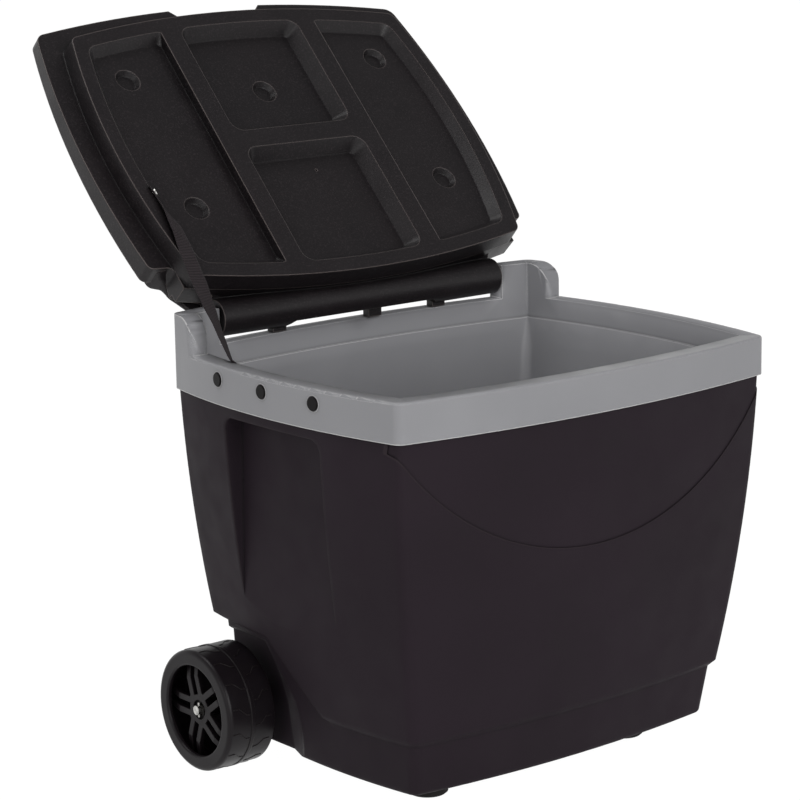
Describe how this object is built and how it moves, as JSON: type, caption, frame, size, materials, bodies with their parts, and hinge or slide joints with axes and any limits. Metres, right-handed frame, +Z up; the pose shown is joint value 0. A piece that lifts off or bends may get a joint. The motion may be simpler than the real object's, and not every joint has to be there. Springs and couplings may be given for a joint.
{
  "type": "wheeled cooler",
  "caption": "Insulated cool box with a dark tapered tub, grey rim liner, hinged moulded lid held open by a webbing strap, and rear wheels on a cross axle.",
  "frame": {"origin": "on the floor, under the middle of the tub", "axes": "+X to the right seen from the front, +Y towards the rear where the hinge and wheels are, +Z up"},
  "size_m": [0.5612, 0.6664, 0.7664],
  "materials": {
    "charcoal_plastic": "matte",
    "grey_plastic": "satin",
    "insulating_foam": "matte",
    "black_plastic": "satin",
    "lid_plastic": "satin",
    "wheel_plastic": "satin",
    "webbing": "matte",
    "steel": "satin",
    "foot_rubber": "matte"
  },
  "bodies": {
    "tub": {"outer_shell": "charcoal_plastic", "liner_collar": "grey_plastic", "body_insulation": "insulating_foam", "left_collar_plugs": "black_plastic", "right_collar_plugs": "black_plastic", "left_hinge_pin": "steel", "right_hinge_pin": "steel", "axle": "steel", "axle_sleeve": "black_plastic", "wheel_spacers": "black_plastic", "axle_washers": "steel", "split_pins": "steel", "left_foot": "foot_rubber", "right_foot": "foot_rubber", "foot_screws": "steel", "strap_lower_rivet": "steel", "lid_strap": "webbing"},
    "lid": {"lid_shell": "lid_plastic", "strap_upper_rivet": "steel"},
    "left_wheel": {"left_wheel_outer": "wheel_plastic", "left_wheel_inner": "wheel_plastic"},
    "right_wheel": {"right_wheel_outer": "wheel_plastic", "right_wheel_inner": "wheel_plastic"}
  },
  "joints": [
    {"name": "lid_hinge", "type": "hinge", "parent": "tub", "child": "lid", "pos_m": [0, 0.189, 0.464], "axis": [1, 0, 0], "range_deg": [0, 134], "deforming": ["lid_strap"]},
    {"name": "left_wheel_spin", "type": "hinge", "parent": "tub", "child": "left_wheel", "pos_m": [-0.249, 0.123, 0.0655], "axis": [1, 0, 0], "continuous": true},
    {"name": "right_wheel_spin", "type": "hinge", "parent": "tub", "child": "right_wheel", "pos_m": [0.249, 0.123, 0.0655], "axis": [1, 0, 0], "continuous": true}
  ]
}
